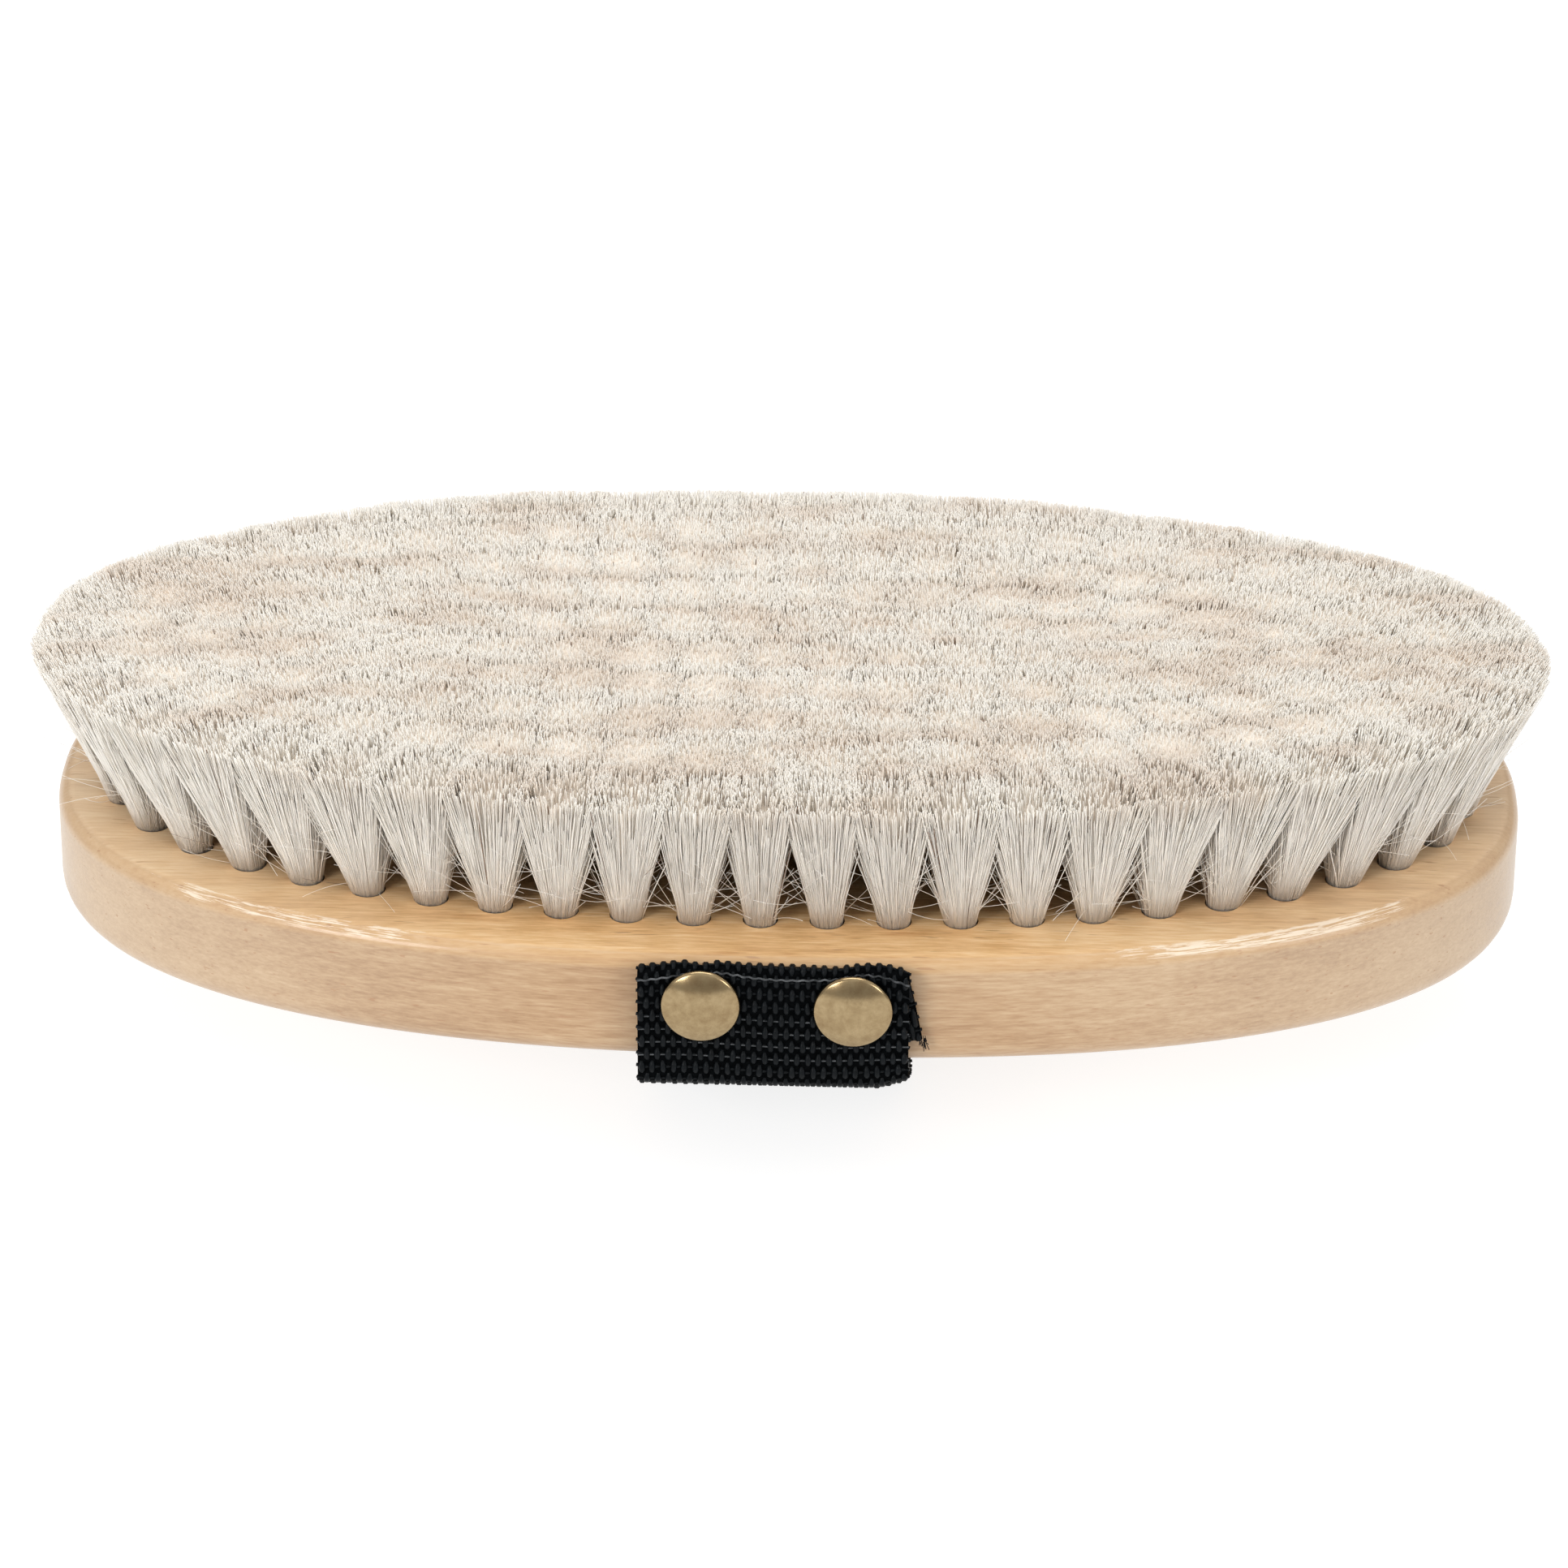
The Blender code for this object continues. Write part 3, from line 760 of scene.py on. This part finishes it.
def strap_ground(surface, material):
    """The dense middle of the webbing, which shows only as darkness between its yarns: painted shade,
    darker and matter than the yarn.
    """
    across = np.linspace(-0.5, 0.5, 25) * (WEB_WIDTH - 0.6 * MM)
    along = np.linspace(0.6 * MM, surface.length - 0.6 * MM, 260)
    thick = 0.3 * MM
    loop = np.concatenate((across, across[::-1]))
    off = np.repeat((thick / 2, -thick / 2), len(across))
    rows = surface.at(loop[None], along[:, None], off[None])
    ground = mesh_object("strap_ground", *lofted(rows), material)
    finish_piece(ground, "webbing", "hand_strap")


def strap_warp(surface, rows):
    """Lengthwise yarns: each floats over every other pick, a step out of line with its neighbours."""
    rng = np.random.default_rng(7)
    yarns = int(round(WEB_WIDTH / YARN_PITCH)) - 1
    pitch = surface.length / rows
    across = (np.arange(yarns) - (yarns - 1) / 2) * YARN_PITCH
    share = (np.arange(rows)[:, None] + np.array((0.0, 0.24, 0.36, 0.48, 0.64, 0.76))).ravel()
    along = share * pitch + rng.uniform(0, 0.9, (yarns, 1)) * MM * np.exp(-share * pitch / (1.2 * MM))
    swing = np.cos(math.pi * (share[None] + np.arange(yarns)[:, None]))
    over = np.tanh(FLOAT_EDGE * (swing - FLOAT_BIAS))
    sway = 0.07 * MM * np.sin(rng.uniform(0, 6.3, (yarns, 1)) + share * 2.1)
    paths = surface.at(across[:, None] + sway, along + rows_bow(across)[:, None], -YARN_LIFT * over)
    width = (YARN_NARROW + YARN_SWELL * np.abs(over)) * MM * rng.uniform(0.9, 1.06, over.shape)
    radii = np.stack((width, np.full_like(width, YARN_HALF_THICK)), axis=2)
    sideways = np.broadcast_to(np.array((1.0, 0, 0)), paths.shape)
    parts = np.array_split(np.arange(yarns), WARP_PIECES)
    return [tubes(paths[part], radii[part], sideways[part], 6) for part in parts]


def rows_bow(across):
    """The rows of the weave bow a little across the width."""
    return 0.3 * MM * np.sin(across / (5.5 * MM) + 0.8)


def strap_weft(surface, rows):
    """Crosswise picks, which turn back round the outermost yarns as a row of small loops."""
    pitch = surface.length / rows
    places = (np.arange(rows - 1) + 1) * pitch
    reach = WEB_WIDTH / 2 - 0.1 * MM
    across = np.linspace(-reach, reach, 103)
    slant = 0.35 * MM * np.clip((np.abs(across) - reach + 1.2 * MM) / (1.2 * MM), 0, 1) * np.sign(across)
    swing = np.cos(math.pi * across / YARN_PITCH)
    side = np.where(np.arange(rows - 1) % 2 == 0, 1, -1)[:, None]
    along = places[:, None] + rows_bow(across)[None] + slant[None]
    off = PICK_SWING * swing * side
    paths = surface.at(across[None], along, off)
    out = surface.at(across[None], along, off + 1 * MM) - paths
    return tubes(paths, np.full(paths.shape[:2] + (2,), PICK_RADIUS), out, 6)


def strap_thread_and_glints(surface, rows, material):
    """Grey picks: a whole one just under each folded edge, and some that show only between the floats as
    painted glints of the weft.
    """
    across = np.linspace(-0.5, 0.5, 120) * (WEB_WIDTH - 0.5 * MM)
    ripple = 0.25 * MM * np.sin(across / (3.3 * MM) + 1.0) + 0.08 * MM * np.sin(across / (0.25 * MM))
    pitch = surface.length / rows
    first = round(FOLD_TO_THREAD / pitch)
    # Painted glints: picks a few rows below the thread, grey and sunk between the floats, show as the light
    # dashes of the weft.
    glint_picks = [(first + row) * pitch + rows_bow(across) for row in GLINT_ROWS]
    places = [FOLD_TO_THREAD + ripple] + glint_picks
    along = np.array(places + [surface.length - place for place in places])
    off = np.tile((-0.66 * MM,) + (-0.30 * MM,) * len(GLINT_ROWS), 2)[:, None]
    paths = surface.at(across[None], along, off)
    sideways = surface.at(across[None], along, off - 1 * MM) - paths
    thick = np.tile((0.15 * MM,) + (0.11 * MM,) * len(GLINT_ROWS), 2)[:, None]
    radii = np.broadcast_to(thick, paths.shape[:2])
    thread = mesh_object("strap_thread_and_glints", *tubes(paths, radii, sideways, 6), material)
    finish_piece(thread, "webbing", "hand_strap")


def strap_fray(surface, material):
    """Loose fibres at the cut ends, where they stick out past the front layer."""
    rng = np.random.default_rng(11)
    count, rows = FRAY_FIBRES, 6
    share = np.linspace(0, 1, rows)
    across = rng.uniform(-0.5, 0.5, (count, 1)) * WEB_WIDTH
    across[:CORNER_FIBRES] = WEB_WIDTH / 2 - rng.uniform(0.0, 0.8, (CORNER_FIBRES, 1)) * MM
    along = rng.uniform(0.2, 1.2, (count, 1)) * MM - share * rng.uniform(0.6, 2.2, (count, 1)) * MM
    across = across + share**1.5 * rng.normal(0.1, 0.25, (count, 1)) * MM
    off = rng.uniform(-0.4, 0.4, (count, 1)) * MM
    y, z = surface.on_line(np.maximum(along, 0))
    z = z + np.minimum(along, 0)
    paths = np.stack((across + TUCK_SHIFT, y + off + 0 * share, z), axis=-1)
    paths = np.concatenate((paths, paths * np.array((1, -1, 1))))
    radii = np.full(paths.shape[:2], 0.06 * MM)
    fray = mesh_object("strap_fray", *tubes(paths, radii, any_across(rng, *radii.shape), 4), material)
    finish_piece(fray, "webbing", "hand_strap")


def add_strap(material, ground_shade_material, thread_and_glint_material):
    surface = StrapSurface()
    rows = int(round(surface.length / ROW_PITCH))
    strap_ground(surface, ground_shade_material)
    shapes = {f"strap_warp_{i + 1}": shape for i, shape in enumerate(strap_warp(surface, rows))}
    shapes["strap_weft"] = strap_weft(surface, rows)
    for name, shape in shapes.items():
        finish_piece(mesh_object(name, *shape, material), "webbing", "hand_strap")
    strap_thread_and_glints(surface, rows, thread_and_glint_material)
    strap_fray(surface, material)


# ---------------------------------------------------------------- nails


def nail_profile():
    """(radius, height over the seat) from the shank's point to the crown of the rolled-edge head."""
    points = [(0.02 * MM, -SHANK_LENGTH), (SHANK_RADIUS, -SHANK_STRAIGHT), (SHANK_RADIUS, NAIL_HOLLOW)]
    points += [(NAIL_RADIUS - 0.35 * MM, NAIL_HOLLOW), (NAIL_RADIUS - 0.3 * MM, 0.0), (NAIL_RADIUS, 0.0)]
    crown = NAIL_CROWN_RADIUS / math.sin(NAIL_CROWN_TILT)
    rim = (NAIL_RADIUS - NAIL_CROWN_RADIUS) / (1 - math.sin(NAIL_CROWN_TILT))
    crown_foot = NAIL_HEIGHT - crown * (1 - math.cos(NAIL_CROWN_TILT))
    skirt = crown_foot - rim * math.cos(NAIL_CROWN_TILT)
    for tilt in np.linspace(math.pi / 2, NAIL_CROWN_TILT, 12):
        points.append((NAIL_RADIUS - rim * (1 - math.sin(tilt)), skirt + rim * math.cos(tilt)))
    for tilt in np.linspace(NAIL_CROWN_TILT, 0.01, 16)[1:]:
        points.append((crown * math.sin(tilt), NAIL_HEIGHT - crown * (1 - math.cos(tilt))))
    return points


def add_nails(material):
    turn = np.linspace(0, 2 * math.pi, NAIL_POINTS, endpoint=False)
    rim = np.stack((np.cos(turn), np.sin(turn)), axis=1)
    rows = [np.column_stack((radius * rim, np.full(NAIL_POINTS, z))) for radius, z in nail_profile()]
    for where, side in (("front", -1), ("back", 1)):
        for hand in ("left", "right"):
            node = f"nail_{where}_{hand}"
            low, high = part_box(node)
            seat = (low.y if side < 0 else high.y) - side * NAIL_HEIGHT
            place = Matrix.Translation(((low.x + high.x) / 2, seat, (low.z + high.z) / 2))
            place @= Matrix.Rotation(math.pi / 2 * -side, 4, "X")
            points, faces = lofted(rows)
            nail = mesh_object(f"brass_{node}", points, faces, material)
            nail.data.transform(place)
            nail.data.set_sharp_from_angle(angle=math.radians(50))
            finish_piece(nail, "brass", node)


# ---------------------------------------------------------------- scene


def finish_piece(obj, slot, *nodes):
    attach(obj, "root")
    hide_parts(*nodes)


def add_floor():
    size = 3.0
    points = [(-size, -size, 0), (size, -size, 0), (size, size, 0), (-size, size, 0)]
    floor = mesh_object("floor", np.array(points), np.array([[0, 1, 2, 3]]), floor_material(), smooth=False)


def add_light(name, place, size, power, aim=(0, 0, 0.03)):
    data = bpy.data.lights.new(name, "AREA")
    data.energy = power
    data.shape = "RECTANGLE"
    data.size, data.size_y = size
    light = bpy.data.objects.new(name, data)
    light.location = place
    light.rotation_euler = (Vector(aim) - Vector(place)).to_track_quat("-Z", "Y").to_euler()
    bpy.context.scene.collection.objects.link(light)


def add_world():
    """Pale studio walls, brighter overhead than at the horizon."""
    world = bpy.data.worlds.new("studio")
    world.use_nodes = True
    nodes, links = world.node_tree.nodes, world.node_tree.links
    split = nodes.new("ShaderNodeSeparateXYZ")
    links.new(nodes.new("ShaderNodeTexCoord").outputs["Generated"], split.inputs[0])
    ramp = nodes.new("ShaderNodeValToRGB")
    low, high = ramp.color_ramp.elements
    low.position, low.color = 0.25, (0.42, 0.41, 0.40, 1.0)
    high.position, high.color = 0.60, (0.85, 0.85, 0.85, 1.0)
    links.new(split.outputs["Z"], ramp.inputs["Fac"])
    links.new(ramp.outputs[0], nodes["Background"].inputs["Color"])
    bpy.context.scene.world = world


def add_camera():
    """Looks at the middle of the block's top from the front and above, a little from the right."""
    rise, swing = CAMERA_RISE, CAMERA_SWING
    toward = Vector((math.sin(swing) * math.cos(rise), -math.cos(swing) * math.cos(rise), math.sin(rise)))
    turn = (-toward).to_track_quat("-Z", "Y").to_matrix().to_4x4()
    up, right = turn.col[1].to_3d(), turn.col[0].to_3d()
    aim = Vector((0, 0, TOP_Z)) - up * AIM_BELOW - right * AIM_LEFT
    data = bpy.data.cameras.new("camera")
    data.sensor_width = SENSOR_WIDTH
    data.lens = CAMERA_LENS
    camera = bpy.data.objects.new("camera", data)
    place = Matrix.Translation(aim + toward * CAMERA_DISTANCE)
    camera.matrix_world = place @ turn @ Matrix.Rotation(-CAMERA_ROLL, 4, "Z")
    bpy.context.scene.collection.objects.link(camera)
    bpy.context.scene.camera = camera


def main():
    bpy.context.scene.view_settings.view_transform = "Standard"
    add_camera()
    add_world()
    for light in LIGHTS:
        add_light(*light)
    add_floor()
    add_block(wood_material())
    add_strap(webbing_material(), webbing_shade_material(), thread_and_glint_material())
    add_nails(brass_material())
    outer_hair = hair_material("goat_hair_strands", (0.90, 0.78, 0.64), 0.5, 0.4)
    # Painted shade: the inner rings' hair turns dark red-brown towards the foot, where it shows in the
    # shaded gaps between the outer tufts.
    inner_hair = hair_material("goat_hair_inner_strands", (0.20, 0.10, 0.06), 1.0, 0.6)
    add_hair(outer_hair, inner_hair, hair_heart_material())


main()
